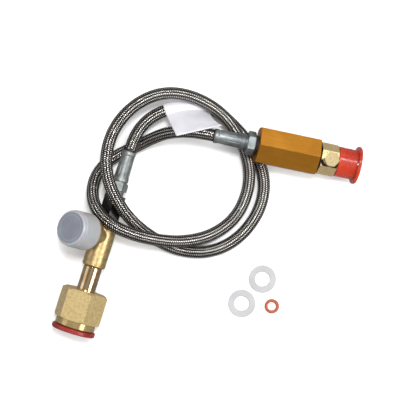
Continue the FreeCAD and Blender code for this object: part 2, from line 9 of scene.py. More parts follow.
import bpy
import numpy as np
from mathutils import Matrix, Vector


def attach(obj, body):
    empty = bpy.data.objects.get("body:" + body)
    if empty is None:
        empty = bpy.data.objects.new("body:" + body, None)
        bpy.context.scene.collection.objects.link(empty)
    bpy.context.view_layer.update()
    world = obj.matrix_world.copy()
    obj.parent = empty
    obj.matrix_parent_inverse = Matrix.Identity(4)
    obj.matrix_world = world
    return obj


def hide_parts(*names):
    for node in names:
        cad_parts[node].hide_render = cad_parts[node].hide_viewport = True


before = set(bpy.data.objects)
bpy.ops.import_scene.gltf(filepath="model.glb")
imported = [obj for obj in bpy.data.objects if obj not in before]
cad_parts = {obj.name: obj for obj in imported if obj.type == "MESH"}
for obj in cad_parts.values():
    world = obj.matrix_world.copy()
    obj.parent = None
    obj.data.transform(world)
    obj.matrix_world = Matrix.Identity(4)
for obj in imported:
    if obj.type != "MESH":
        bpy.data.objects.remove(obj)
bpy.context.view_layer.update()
MM = 0.001
LOG = logging.getLogger("gas_hose")

Number = Union[int, float]
Colour = tuple[float, float, float]
Point = tuple[float, float, float]


def add_object(name: str, data: bpy.types.ID) -> bpy.types.Object:
    """Makes an object and links it to the scene.

    Args:
        name: The object's name.
        data: Its mesh, curve, camera or light.

    Returns:
        The new object.
    """
    made = bpy.data.objects.new(name, data)
    bpy.context.scene.collection.objects.link(made)
    return made


class Axis(Enum):
    """Lines that the turned pieces are centred on: a point in metres and a unit direction."""

    MACHINE = ((0.005, 0.0665, 0.025), (0.97323, -0.19801, -0.11667))
    TANK = ((-0.05325, 0.056, 0.0145), (-0.29986, -0.95393, 0.01047))
    SIDE_PORT = ((-0.071556, -0.002237, 0.015139), (-0.53085, 0.17597, 0.82899))

    @property
    def origin(self) -> Vector:
        """Point that the line starts from."""
        return Vector(self.value[0])

    @property
    def direction(self) -> Vector:
        """Unit vector along the line."""
        return Vector(self.value[1]).normalized()


class Signal:
    """A shader output that Python's operators turn into Math nodes."""

    def __init__(self, graph: "Graph", socket: bpy.types.NodeSocket) -> None:
        """Holds the socket.

        Args:
            graph: The material's graph, which makes the new nodes.
            socket: The output socket that carries the value.
        """
        self.graph = graph
        self.socket = socket

    def maths(self, operation: str, *values: Union["Signal", Number]) -> "Signal":
        """Adds one Math node.

        Args:
            operation: The Math node's operation.
            values: Its inputs in order, signals or numbers.

        Returns:
            The node's result.
        """
        inputs = dict(enumerate(values))
        return self.graph.signal("ShaderNodeMath", {"operation": operation}, inputs)

    def __add__(self, other: Union["Signal", Number]) -> "Signal":
        """self + other."""
        return self.maths("ADD", self, other)

    __radd__ = __add__

    def __mul__(self, other: Union["Signal", Number]) -> "Signal":
        """self * other."""
        return self.maths("MULTIPLY", self, other)

    __rmul__ = __mul__

    def __sub__(self, other: Union["Signal", Number]) -> "Signal":
        """self - other."""
        return self.maths("SUBTRACT", self, other)

    def __rsub__(self, other: Number) -> "Signal":
        """other - self."""
        return self.maths("SUBTRACT", other, self)

    def __pow__(self, other: Number) -> "Signal":
        """self to the power of other."""
        return self.maths("POWER", self, other)

    def __abs__(self) -> "Signal":
        """Size of self without its sign."""
        return self.maths("ABSOLUTE", self)

    def sine(self) -> "Signal":
        """Sine of self in radians."""
        return self.maths("SINE", self)

    def step(self, low: float, high: float) -> "Signal":
        """Smooth rise from 0 at low to 1 at high.

        Args:
            low: Value that gives 0.
            high: Value that gives 1.

        Returns:
            The eased share.
        """
        settings = {"interpolation_type": "SMOOTHSTEP"}
        inputs = {"Value": self, "From Min": low, "From Max": high}
        return self.graph.signal("ShaderNodeMapRange", settings, inputs)


class Graph:
    """Nodes of one material, round a Principled shader."""

    def __init__(self, name: str) -> None:
        """Starts an empty material.

        Args:
            name: The material's name.
        """
        self.material = bpy.data.materials.new(name)
        self.material.use_nodes = True
        self.tree = self.material.node_tree
        self.tree.nodes.clear()
        self.surface = self.node("ShaderNodeBsdfPrincipled", {}, {})
        self.node("ShaderNodeOutputMaterial", {}, {"Surface": Signal(self, self.surface.outputs[0])})

    def node(self, kind: str, settings: dict, inputs: dict) -> bpy.types.Node:
        """Adds any node.

        Args:
            kind: The node's type.
            settings: Its settings, set before its sockets.
            inputs: Values or signals by socket name or number.

        Returns:
            The new node.
        """
        node = self.tree.nodes.new(kind)
        for key, value in settings.items():
            setattr(node, key, value)
        for key, value in inputs.items():
            self.feed(node.inputs[key], value)
        return node

    def feed(self, socket: bpy.types.NodeSocket, value: Union[Signal, Number, Sequence[float]]) -> None:
        """Links a signal to a socket, or sets the socket's own value.

        Args:
            socket: The input socket.
            value: A signal, a number, a colour or a vector.
        """
        if isinstance(value, Signal):
            self.tree.links.new(value.socket, socket)
        elif isinstance(value, tuple) and len(value) == 3 and socket.type == "RGBA":
            socket.default_value = (*value, 1.0)
        else:
            socket.default_value = value

    def signal(self, kind: str, settings: dict, inputs: dict, output: Union[int, str] = 0) -> Signal:
        """Adds any node and takes one of its outputs as a signal.

        Args:
            kind: The node's type.
            settings: Its settings.
            inputs: Values or signals by socket.
            output: Name or number of the output.

        Returns:
            The output.
        """
        return Signal(self, self.node(kind, settings, inputs).outputs[output])

    def place(self) -> Signal:
        """Position on the piece, in metres, which moves with it."""
        return self.signal("ShaderNodeTexCoord", {}, {}, "Object")

    def vector(self, operation: str, output: str, *values: Union[Signal, Sequence[float]]) -> Signal:
        """Adds one Vector Math node.

        Args:
            operation: The node's operation.
            output: "Vector" or "Value".
            values: Its inputs in order.

        Returns:
            The node's result.
        """
        inputs = dict(enumerate(values))
        return self.signal("ShaderNodeVectorMath", {"operation": operation}, inputs, output)

    def station(self, axis: Axis) -> Signal:
        """Distance along a line, in metres.

        Args:
            axis: The line.

        Returns:
            The distance from the line's first point.
        """
        along = self.vector("DOT_PRODUCT", "Value", self.place(), tuple(axis.direction))
        return along - axis.origin.dot(axis.direction)

    def reach(self, axis: Axis) -> Signal:
        """Distance from a line, in metres.

        Args:
            axis: The line.

        Returns:
            The distance square to the line.
        """
        away = self.vector("SUBTRACT", "Vector", self.place(), tuple(axis.origin))
        square = self.vector("CROSS_PRODUCT", "Vector", away, tuple(axis.direction))
        return self.vector("LENGTH", "Value", square)

    def distance(self, point: Point) -> Signal:
        """Distance from a point, in metres.

        Args:
            point: The point.

        Returns:
            The distance.
        """
        return self.vector("DISTANCE", "Value", self.place(), point)

    def beside(self, axis: Axis, point: Point) -> Signal:
        """Level distance to the left of a point, looking along a line.

        Args:
            axis: The line.
            point: The point.

        Returns:
            The distance in metres, negative to the right.
        """
        side = Vector((0.0, 0.0, 1.0)).cross(axis.direction).normalized()
        return self.vector("DOT_PRODUCT", "Value", self.place(), tuple(side)) - side.dot(Vector(point))

    def upward(self) -> Signal:
        """How far the piece's own surface faces up: 1 for level, 0 for upright."""
        normal = self.signal("ShaderNodeTexCoord", {}, {}, "Normal")
        return self.vector("DOT_PRODUCT", "Value", normal, (0.0, 0.0, 1.0))

    def noise(self, scale: float, detail: float, stretch: Point = (1.0, 1.0, 1.0)) -> Signal:
        """Cloudy noise over the piece.

        Args:
            scale: Lumps per metre.
            detail: Octaves of finer noise.
            stretch: Factors on the position along X, Y and Z.

        Returns:
            Noise from 0 to 1.
        """
        inputs = {"Vector": self.vector("MULTIPLY", "Vector", self.place(), stretch)}
        return self.signal("ShaderNodeTexNoise", {}, {**inputs, "Scale": scale, "Detail": detail})

    def grain(self, axis: Axis, scale: float, pressed: float) -> Signal:
        """Noise drawn out along a line, as a drawn bar shows it.

        Args:
            axis: The line.
            scale: Lumps per metre across it.
            pressed: Share of the distance along the line that is left out.

        Returns:
            Noise from 0 to 1.
        """
        inputs = {0: tuple(axis.direction), "Scale": self.station(axis) * pressed}
        along = self.signal("ShaderNodeVectorMath", {"operation": "SCALE"}, inputs)
        across = self.vector("SUBTRACT", "Vector", self.place(), along)
        return self.signal("ShaderNodeTexNoise", {}, {"Vector": across, "Scale": scale, "Detail": 3.0})

    def lines(self, station: Signal, scale: float) -> Signal:
        """Fine lines across a direction, as a tool leaves them.

        Args:
            station: Distance along the direction.
            scale: Lines per metre.

        Returns:
            Noise from 0 to 1 that varies with the distance alone.
        """
        inputs = {"W": station, "Scale": scale, "Detail": 3.0}
        return self.signal("ShaderNodeTexNoise", {"noise_dimensions": "1D"}, inputs)

    def mix(self, share: Signal, first: Union[Signal, Colour], second: Union[Signal, Colour]) -> Signal:
        """Blends two colours.

        Args:
            share: 0 for the first, 1 for the second.
            first: A colour.
            second: A colour.

        Returns:
            The blended colour.
        """
        inputs = {"Factor": share, 6: first, 7: second}
        return self.signal("ShaderNodeMix", {"data_type": "RGBA"}, inputs, 2)

    def relief(self, height: Signal, distance: float, rounding: float = 0.0) -> None:
        """Feeds the surface's normal from a height.

        Args:
            height: Height from 0 to 1.
            distance: Metres between 0 and 1.
            rounding: Radius in metres that edges are shaded with, or 0.
        """
        inputs = {"Height": height, "Distance": distance, "Strength": 1.0}
        if rounding:
            inputs["Normal"] = self.signal("ShaderNodeBevel", {"samples": 4}, {"Radius": rounding})
        self.set(Normal=self.signal("ShaderNodeBump", {}, inputs))

    def set(self, **sockets: Union[Signal, Number, Sequence[float]]) -> None:
        """Sets the surface's sockets; an underscore in a name stands for a space."""
        for name, value in sockets.items():
            self.feed(self.surface.inputs[name.replace("_", " ")], value)


@dataclass(frozen=True)
class TurnedMetal:
    """Metal turned on a lathe or milled from bar, with fine tool lines and a worn, fingered surface.

    Attributes:
        bright: Colour of the clean metal.
        dull: Colour of the tarnished metal.
        axis: Line that the tool lines run round.
        line_scale: Tool lines per metre.
        line_depth: Height of the relief in metres.
        edge: Radius in metres that edges are shaded with.
        clouding: Clouds of tarnish per metre.
        speck_share: Share of specks in the relief; the rest is lines.
        metallic: Metallic value of the whole.
        joint: Station in metres up to which painted shade darkens the gap at a joint, or 0.
        corner: Point in metres round which painted shade lies, on its left and on faces that look up, or
            none.
        polished: Station in metres past which the metal is polished and darkened with a painted
            reflection, or 0.
    """

    name: str
    bright: Colour
    dull: Colour
    axis: Axis
    roughness: float = 0.3
    line_scale: float = 5000.0
    line_depth: float = 0.000012
    edge: float = 0.0003
    clouding: float = 160.0
    speck_share: float = 0.3
    metallic: float = 1.0
    joint: float = 0.0
    corner: Optional[Point] = None
    polished: float = 0.0

    # Colour of the painted shade, and where it fades in metres: past the joint, away from the corner and
    # to its left
    painted_shade = (0.012, 0.007, 0.003)
    joint_fade = (0.0013, 0.0018)
    corner_fade = (0.0072, 0.0080)
    corner_side = (-0.0016, -0.0008)
    # How far up a face has to look for the painted shade to lie on it
    corner_facing = (0.75, 0.85)
    # Metres in which the polish sets in, how much it smooths, and how much of which dark colour it
    # paints on as a painted reflection
    polish_fade = (0.0, 0.0005)
    polish_gain = 0.15
    polish_reflection_share = 0.42
    polish_painted_reflection = (0.11, 0.075, 0.025)

    def paint_shade(self, graph: Graph, station: Signal, colour: Signal) -> Signal:
        """Paints shade into the gap at the joint and round the corner, where there are any.

        Args:
            graph: The material's graph.
            station: Distance along the axis.
            colour: The metal's colour.

        Returns:
            The colour with the painted shade.
        """
        if self.joint:
            # Painted shade in the gap at the joint
            joint = 1 - (station - self.joint).step(*self.joint_fade)
            colour = graph.mix(joint, colour, self.painted_shade)
        if self.corner:
            # Painted shade beside a raised piece, on faces that look up
            near = 1 - graph.distance(self.corner).step(*self.corner_fade)
            right = 1 - graph.beside(self.axis, self.corner).step(*self.corner_side)
            facing = graph.upward().step(*self.corner_facing)
            colour = graph.mix(near * right * facing, colour, self.painted_shade)
        return colour

    def build(self) -> bpy.types.Material:
        """Makes the material.

        Returns:
            Metal whose colour clouds softly and whose tool lines run round its axis.
        """
        graph = Graph(self.name)
        clouds = graph.noise(self.clouding, 4.0)
        station = graph.station(self.axis)
        lines = graph.lines(station, self.line_scale)
        specks = graph.noise(1900.0, 1.0)
        share = clouds.step(0.32, 0.72) * 0.8 + lines * 0.2
        colour = self.paint_shade(graph, station, graph.mix(share, self.bright, self.dull))
        roughness = self.roughness + clouds * 0.14 + lines * 0.08 - 0.08
        if self.polished:
            # Past the polished station the metal is smoother, and its colour is darkened as a painted
            # reflection
            polish = (station - self.polished).step(*self.polish_fade)
            roughness = roughness - polish * self.polish_gain
            colour = graph.mix(polish * self.polish_reflection_share, colour, self.polish_painted_reflection)
        graph.set(Base_Color=colour, Metallic=self.metallic, Roughness=roughness)
        height = lines * (1 - self.speck_share) + specks * self.speck_share
        graph.relief(height, self.line_depth, self.edge)
        return graph.material


@dataclass(frozen=True)
class Anodised:
    """Anodised aluminium bar: satin colour, deeper in places, with drawing lines along its axis."""

    name: str
    bright: Colour
    deep: Colour
    axis: Axis
    roughness: float = 0.34
    edge: float = 0.0004

    def build(self) -> bpy.types.Material:
        """Makes the material.

        Returns:
            Coloured satin metal.
        """
        graph = Graph(self.name)
        drawn = graph.grain(self.axis, 1300.0, 0.96)
        clouds = graph.noise(90.0, 3.0)
        share = clouds.step(0.3, 0.75) * 0.5 + drawn.step(0.3, 0.7) * 0.5
        graph.set(
            Base_Color=graph.mix(share, self.bright, self.deep),
            Metallic=0.85,
            Roughness=self.roughness + drawn * 0.1 + clouds * 0.06 - 0.08,
        )
        graph.relief(drawn, 0.00001, self.edge)
        return graph.material


@dataclass(frozen=True)
class Moulded:
    """Moulded plastic: soft gloss, faint flow marks and scuffs, light passing a little way in.

    Attributes:
        subsurface: Share of light that passes in.
        depth: Metres that it passes in.
        coat: Weight of the gloss on top.
        gloss: Strength of the light that the plastic itself mirrors.
        scuffing: Share of scuffs in the relief; the rest is flow marks.
    """

    name: str
    colour: Colour
    shade: Colour
    roughness: float = 0.36
    subsurface: float = 0.0
    depth: float = 0.0015
    edge: float = 0.0004
    coat: float = 0.0
    gloss: float = 0.5
    scuffing: float = 0.4

    def build(self) -> bpy.types.Material:
        """Makes the material.

        Returns:
            Plastic with uneven gloss.
        """
        graph = Graph(self.name)
        flow = graph.noise(70.0, 3.0)
        scuffs = graph.noise(900.0, 5.0, (1.0, 0.35, 1.0))
        graph.set(
            Base_Color=graph.mix(flow.step(0.3, 0.7), self.colour, self.shade),
            Roughness=self.roughness + scuffs.step(0.5, 0.75) * 0.16,
            Subsurface_Weight=self.subsurface,
            Subsurface_Radius=(1.0, 0.6, 0.5),
            Subsurface_Scale=self.depth,
            Coat_Weight=self.coat,
            Coat_Roughness=0.13,
            Specular_IOR_Level=self.gloss,
            IOR=1.5,
        )
        graph.relief(flow * (1 - self.scuffing) + scuffs * self.scuffing, 0.00003, self.edge)
        return graph.material


@dataclass(frozen=True)
class MilkyCap:
    """Thin milky plastic cap: its end is darkened with painted shade for the hollow behind, with the
    mould's rings.

    Attributes:
        barrel: Colour of the side.
        end: Colour of the end over the hollow, darkened as painted shade.
        rim: Colour where the wall is thick.
        end_at: Station of the end in metres.
    """

    name: str
    barrel: Colour
    end: Colour
    rim: Colour
    axis: Axis
    end_at: float
    radius: float

    # Metres before the end at which its face begins and is whole
    end_fade = (0.0006, 0.0001)
    # Shares of the radius at which the thick edge and the mould's ring lie, and their widths in metres
    edge_share, edge_width = 0.94, 0.0008
    ring_share, ring_width = 0.74, 0.0005

    def build(self) -> bpy.types.Material:
        """Makes the material.

        Returns:
            Smooth plastic, darkened over the hollow with painted shade and lighter at its edges.
        """
        graph = Graph(self.name)
        station = graph.station(self.axis)
        reach = graph.reach(self.axis)
        flow = graph.noise(60.0, 2.0)
        on_end = station.step(*(self.end_at - fade for fade in self.end_fade))
        edge = abs(reach - self.radius * self.edge_share).step(0.0, self.edge_width)
        ring = abs(reach - self.radius * self.ring_share).step(0.0, self.ring_width)
        # The face over the hollow takes the end colour, which is painted shade
        hollow = graph.mix(flow.step(0.3, 0.7) * 0.25 + ring * 0.3 + 0.45, self.rim, self.end)
        face = graph.mix(edge, self.rim, hollow)
        wall = graph.mix(flow.step(0.35, 0.65) * 0.5, self.barrel, self.rim)
        graph.set(
            Base_Color=graph.mix(on_end, wall, face),
            Roughness=flow * 0.1 + 0.25,
            Subsurface_Weight=0.5,
            Subsurface_Scale=0.003,
            Specular_IOR_Level=0.3,
        )
        graph.relief(flow, 0.00001, 0.0006)
        return graph.material


@dataclass(frozen=True)
class Rubber:
    """Moulded rubber: matt, with a bloom of dust."""

    name: str
    colour: Colour
    bloom: Colour
    roughness: float = 0.55

    def build(self) -> bpy.types.Material:
        """Makes the material.

        Returns:
            Matt rubber.
        """
        graph = Graph(self.name)
        dust = graph.noise(420.0, 4.0)
        graph.set(
            Base_Color=graph.mix(dust.step(0.4, 0.85), self.colour, self.bloom),
            Roughness=self.roughness + dust * 0.2,
        )
        graph.relief(dust, 0.00002, 0.0002)
        return graph.material


@dataclass(frozen=True)
class Braid:
    """Stainless wire braid: each float is a flat bundle of fine wires."""

    name: str
    bright: Colour
    # The second colour is painted shade for the hollows between floats
    hollow_shade: Colour
    wires: int = 6

    # Where painted shade sets in from a float's middle, as shares of its length and width
    end_fade = (0.12, 0.36)
    rim_fade = (0.14, 0.34)

    def build(self) -> bpy.types.Material:
        """Makes the material.

        Returns:
            Steel wire with grooves between the wires of each bundle.
        """
        graph = Graph(self.name)
        across = graph.signal("ShaderNodeUVMap", {"uv_map": "float"}, {})
        split = graph.node("ShaderNodeSeparateXYZ", {}, {0: across})
        lane = Signal(graph, split.outputs[0])
        run = Signal(graph, split.outputs[1])
        wire = abs((lane * (math.pi * self.wires)).sine())
        ends = abs(run - 0.5).step(*self.end_fade)
        rims = abs(lane - 0.5).step(*self.rim_fade)
        clouds = graph.noise(110.0, 3.0)
        grooves = 1 - wire ** 0.5
        # Painted shade at the floats' ends and rims and in the grooves between wires, which leaves the
        # crowns bright as painted glints; the clouds add a little real tarnish
        shade_and_tarnish = ends * 0.9 + rims * 0.95 + grooves * 0.1 + clouds.step(0.4, 0.8) * 0.1
        graph.set(
            Base_Color=graph.mix(shade_and_tarnish.step(0.0, 1.0), self.bright, self.hollow_shade),
            Metallic=1.0,
            Roughness=clouds * 0.05 + 0.285,
        )
        graph.relief(wire, 0.00002)
        return graph.material


@dataclass(frozen=True)
class Label:
    """White film label with a faint sheet grain, bare of any print."""

    name: str
    colour: Colour
    shade: Colour

    def build(self) -> bpy.types.Material:
        """Makes the material.

        Returns:
            Smooth white film.
        """
        graph = Graph(self.name)
        grain = graph.noise(2200.0, 3.0)
        waves = graph.noise(85.0, 1.0)
        graph.set(
            Base_Color=graph.mix(waves.step(0.3, 0.75), self.colour, self.shade),
            Roughness=0.42 + grain * 0.12,
        )
        graph.relief(waves * 0.8 + grain * 0.2, 0.00012)
        return graph.material


@dataclass(frozen=True)
class Lamp:
    """One soft box that looks at the middle of the hose.

    Attributes:
        power: Watts.
        mirrored: Whether shiny pieces mirror it.
    """

    name: str
    place: Point
    size: tuple[float, float]
    power: float
    mirrored: bool = True

    # Point that every lamp looks at
    aim = (0.0, 0.02, 0.0)

    def build(self) -> None:
        """Hangs the lamp."""
        light = bpy.data.lights.new(self.name, "AREA")
        light.shape = "RECTANGLE"
        light.size, light.size_y = self.size
        light.energy = self.power
        lamp = add_object(self.name, light)
        lamp.location = self.place
        lamp.visible_glossy = self.mirrored
        towards = Vector(self.aim) - Vector(self.place)
        lamp.rotation_euler = towards.to_track_quat("-Z", "Y").to_euler()


class Studio:
    """Camera over the middle, soft lights and a pale floor."""

    camera_at = (0.0005, 0.0175, 0.9)
    # Metres of floor that the picture is wide
    frame_width = 0.2905
    sensor = 36.0
    near_clip = 0.01
    floor_reach = 3.0
    # A hair below the object, so that the two don't share a plane
    floor_height = -0.0002
    floor_grey = (0.9, 0.9, 0.9)
    air_colour = (1.0, 0.99, 0.97, 1.0)
    air_strength = 0.28
    lamps = (
        Lamp("key", (0.35, 0.95, 0.62), (0.4, 0.22), 0.9),
        Lamp("overhead", (0.06, 0.27, 1.3), (0.2, 0.2), 11.0),
        Lamp("streak", (0.52, 0.50, 1.3), (0.15, 0.28), 4.0),
        Lamp("left_card", (-0.95, 0.0, 0.55), (0.9, 0.6), 1.5),
        Lamp("right_card", (0.78, -0.25, 0.80), (0.5, 0.5), 6.0),
        Lamp("tent", (0.0, 0.1, 1.6), (2.6, 2.6), 22.0, mirrored=False),
    )

    def camera(self) -> None:
        """Sets the camera looking straight down, as the photograph does."""
        lens = bpy.data.cameras.new("camera")
        lens.sensor_width = self.sensor
        lens.lens = self.sensor * self.camera_at[2] / self.frame_width
        lens.clip_start = self.near_clip
        viewer = add_object("camera", lens)
        viewer.location = self.camera_at
        bpy.context.scene.camera = viewer

    def floor(self) -> None:
        """Lays the pale floor just under the object."""
        mesh = bpy.data.meshes.new("floor")
        far, height = self.floor_reach, self.floor_height
        corners = [(-far, -far, height), (far, -far, height), (far, far, height), (-far, far, height)]
        mesh.from_pydata(corners, [], [(0, 1, 2, 3)])
        floor = add_object("floor", mesh)
        graph = Graph("pale_floor")
        graph.set(Base_Color=self.floor_grey, Roughness=0.8, Specular_IOR_Level=0.1)
        mesh.materials.append(graph.material)
        floor.visible_glossy = False

    def air(self) -> None:
        """Fills the shadows with a weak, even light."""
        world = bpy.data.worlds.new("studio_air")
        world.use_nodes = True
        background = world.node_tree.nodes["Background"].inputs
        background["Color"].default_value = self.air_colour
        background["Strength"].default_value = self.air_strength
        bpy.context.scene.world = world

    def build(self) -> None:
        """Sets up the whole studio."""
        self.camera()
        self.floor()
        for lamp in self.lamps:
            lamp.build()
        self.air()
        bpy.context.scene.view_settings.view_transform = "Standard"


class Line:
    """A smooth line through space with a frame that doesn't twist along it."""

    def __init__(self, points: np.ndarray) -> None:
        """Measures the line.

        Args:
            points: Its points in order, in metres.
        """
        steps = np.linalg.norm(np.diff(points, axis=0), axis=1)
        self.points = points
        self.marks = np.concatenate([[0.0], np.cumsum(steps)])
        self.length = float(self.marks[-1])
        ahead = np.gradient(points, self.marks, axis=0)
        self.ahead = ahead / np.linalg.norm(ahead, axis=1, keepdims=True)
        side = np.cross(self.ahead[0], (0.0, 0.0, 1.0))
        sides = []
        for direction in self.ahead:
            side = side - direction * side.dot(direction)
            side = side / np.linalg.norm(side)
            sides.append(side)
        self.side = np.array(sides)

    def at(self, distance: np.ndarray) -> tuple[np.ndarray, np.ndarray, np.ndarray]:
        """Reads places on the line.

        Args:
            distance: Distances along it, in metres.

        Returns:
            Points, sideways vectors and upward vectors there.
        """
        def read(values: np.ndarray) -> np.ndarray:
            """Each coordinate at the distances."""
            return np.stack([np.interp(distance, self.marks, values[:, k]) for k in range(3)], axis=-1)

        ahead = read(self.ahead)
        side = read(self.side)
        up = np.cross(side, ahead)
        return read(self.points), side, up


@dataclass
class BraidedHose:
    """Hose in its stainless braid: two families of wire bundles, each over two and under two.

    Attributes:
        diameter: Thickness over the crowns of the braid.
        core: Radius of the dark tube under the braid.
        sunk: Radius that the rims of the floats lie at.
        bundles: Bundles round the hose, half of them leaning each way.
        pitch: Distance along the hose from one row of floats to the next.
        float_length: Length of the visible part of a bundle.
        core_step: Distance between the dark tube's rings.
        lift: How much higher than in CAD the line lies, as the braid is thicker than the CAD hose.
        stretches: The CAD nodes that it replaces.
    """

    diameter: float = 8.6 * MM
    core: float = 3.9 * MM
    sunk: float = 3.75 * MM
    bundles: int = 12
    pitch: float = 1.45 * MM
    float_length: float = 2.9 * MM
    float_width: float = 1.02 * MM
    core_sides: int = 16
    core_step: float = 2.0 * MM
    lift: float = 0.3 * MM
    stretches: tuple[str, ...] = ("hose_upper", "hose_floor", "hose_tank_side")

    # A float's section: places along and across it from -1 to 1, and its height there from 0 to 1
    run_grid, run_heights = (-1.0, -0.66, 0.0, 0.66, 1.0), (0.0, 0.86, 1.0, 0.86, 0.0)
    lane_grid, lane_heights = (-1.0, -0.78, 0.0, 0.78, 1.0), (0.0, 0.84, 1.0, 0.84, 0.0)

    # Control points in millimetres, as in the part's source
    start = (5.0, 66.5, 25.0)
    first = (-4.732, 68.48, 26.167)
    last = (-50.251, 65.539, 14.395)
    end = (-53.25, 56.0, 14.5)
    route = (
        (-16.0, 69.5, 24.9), (-28.0, 68.5, 19.4), (-39.5, 64.5, 10.4), (-50.0, 59.5, 5.2),
        (-60.5, 55.0, 4.4), (-69.5, 49.0, 7.2), (-77.0, 39.0, 12.2), (-79.0, 26.5, 18.8),
        (-74.5, 14.5, 25.4), (-64.0, 5.0, 29.2), (-50.0, -1.0, 27.6), (-34.0, -5.0, 19.8),
        (-16.5, -6.5, 10.6), (3.0, -2.5, 4.8), (20.0, 9.5, 4.1), (29.0, 28.0, 5.0),
        (30.0, 47.5, 8.6), (23.0, 66.0, 12.4), (10.0, 83.5, 15.0), (-10.5, 94.5, 19.0),
        (-30.5, 96.5, 20.0), (-49.0, 88.5, 20.8), (-63.0, 73.0, 22.0), (-69.0, 54.5, 23.8),
        (-67.5, 36.5, 26.0), (-61.0, 21.5, 27.9), (-51.0, 7.5, 21.6), (-36.5, -4.5, 9.2),
        (-18.5, -13.0, 4.1), (2.5, -14.0, 4.0), (22.5, -4.5, 4.0), (37.5, 15.5, 4.0),
        (41.0, 37.0, 4.0), (33.0, 58.0, 4.0), (18.0, 76.0, 4.3), (6.0, 85.0, 6.8),
        (-7.5, 88.0, 9.9), (-21.5, 86.5, 12.4), (-34.0, 82.5, 13.9), (-43.5, 75.5, 14.4),
    )

    def line(self) -> Line:
        """Reads the smooth line that the hose follows.

        Returns:
            The line of the route's NURBS spline.
        """
        points = [self.start, self.first, *self.route, self.last, self.end]
        curve = bpy.data.curves.new("hose_route", "CURVE")
        curve.dimensions = "3D"
        curve.resolution_u = 24
        spline = curve.splines.new("NURBS")
        spline.points.add(len(points) - 1)
        for place, point in zip(spline.points, points):
            place.co = (point[0] * MM, point[1] * MM, point[2] * MM + self.lift, 1.0)
        spline.order_u = 3
        spline.use_endpoint_u = True
        guide = add_object("hose_route", curve)
        bpy.context.view_layer.update()
        mesh = bpy.data.meshes.new_from_object(guide)
        found = np.array([vertex.co[:] for vertex in mesh.vertices])
        bpy.data.meshes.remove(mesh)
        bpy.data.objects.remove(guide)
        return Line(found)

    def core_mesh(self, line: Line) -> tuple[np.ndarray, np.ndarray]:
        """Dark tube that shows between the bundles.

        Args:
            line: The hose's line.

        Returns:
            Vertices and four-sided faces.
        """
        rings = int(line.length / self.core_step)
        marks = np.linspace(0.0, line.length, rings + 1)
        place, side, up = line.at(marks)
        turn = np.linspace(0.0, 2 * math.pi, self.core_sides, endpoint=False)
        ring = side[:, None] * np.cos(turn)[None, :, None] + up[:, None] * np.sin(turn)[None, :, None]
        points = (place[:, None] + ring * self.core).reshape(-1, 3)
        near = np.arange(rings)[:, None] * self.core_sides
        far = near + self.core_sides
        here = np.arange(self.core_sides)[None, :]
        after = (here + 1) % self.core_sides
        faces = np.stack([near + here, near + after, far + after, far + here], axis=-1)
        return points, faces.reshape(-1, 4)

    def float_places(self, length: float) -> tuple[np.ndarray, np.ndarray, np.ndarray]:
        """Where each float of the two-over, two-under braid lies.

        Args:
            length: The hose's length in metres.

        Returns:
            Distance along the hose, angle round it and lean, 1 or -1, of every float.
        """
        rows = int(length / self.pitch) - 1
        distances, angles, leans = [], [], []
        unit = math.pi / self.bundles
        # Lean of a family, then its first float: how many bundles round and how many rows along
        for lean, first, start in ((1, 0.5, 1.0), (-1, 2.5, 1.5)):
            for column in range(self.bundles // 2):
                for row in range(rows):
                    distances.append((row + start) * self.pitch)
                    angles.append((first + 4 * column) * unit)
                    leans.append(lean)
        return np.array(distances), np.array(angles), np.array(leans)

    def float_mesh(self, line: Line) -> tuple[np.ndarray, np.ndarray, np.ndarray]:
        """Every float as a low pillow whose rim is sunk in the core.

        Args:
            line: The hose's line.

        Returns:
            Vertices, four-sided faces and each vertex's place on its float, from 0 to 1.
        """
        distance, angle, lean = self.float_places(line.length)
        run, lane = (grid.ravel() for grid in np.meshgrid(self.run_grid, self.lane_grid, indexing="ij"))
        height = np.outer(self.run_heights, self.lane_heights).ravel()
        radius = self.diameter / 2
        pitch_round = 2 * math.pi * radius / self.bundles
        slope = math.atan2(pitch_round, self.pitch)
        ahead = run * self.float_length / 2
        aside = lane * self.float_width / 2
        forward, forward_side = ahead * math.cos(slope), aside * math.sin(slope)
        around, around_side = ahead * math.sin(slope), aside * math.cos(slope)
        mark = distance[:, None] + forward[None] - lean[:, None] * forward_side[None]
        turn = angle[:, None] + (lean[:, None] * around[None] + around_side[None]) / radius
        mark = np.clip(mark, 0.0, line.length)
        place, side, up = line.at(mark.ravel())
        turn = turn.ravel()[:, None]
        reach = np.tile(self.sunk + (radius - self.sunk) * height, len(distance))[:, None]
        points = place + (side * np.cos(turn) + up * np.sin(turn)) * reach
        size = len(self.run_grid)
        corner = (np.arange(size - 1)[:, None] * size + np.arange(size - 1)[None]).ravel()
        patch = np.stack([corner, corner + 1, corner + size + 1, corner + size], axis=-1)
        faces = (np.arange(len(distance))[:, None, None] * size * size + patch[None]).reshape(-1, 4)
        flip = np.repeat(lean > 0, len(patch))
        faces[flip] = faces[flip][:, ::-1]
        spot = np.stack([(lane + 1) / 2, (run + 1) / 2], axis=-1)
        return points, faces, np.tile(spot, (len(distance), 1))

    def build(self, line: Line) -> bpy.types.Object:
        """Args:
            line: The hose's line.

        Returns:
            The hose.
        """
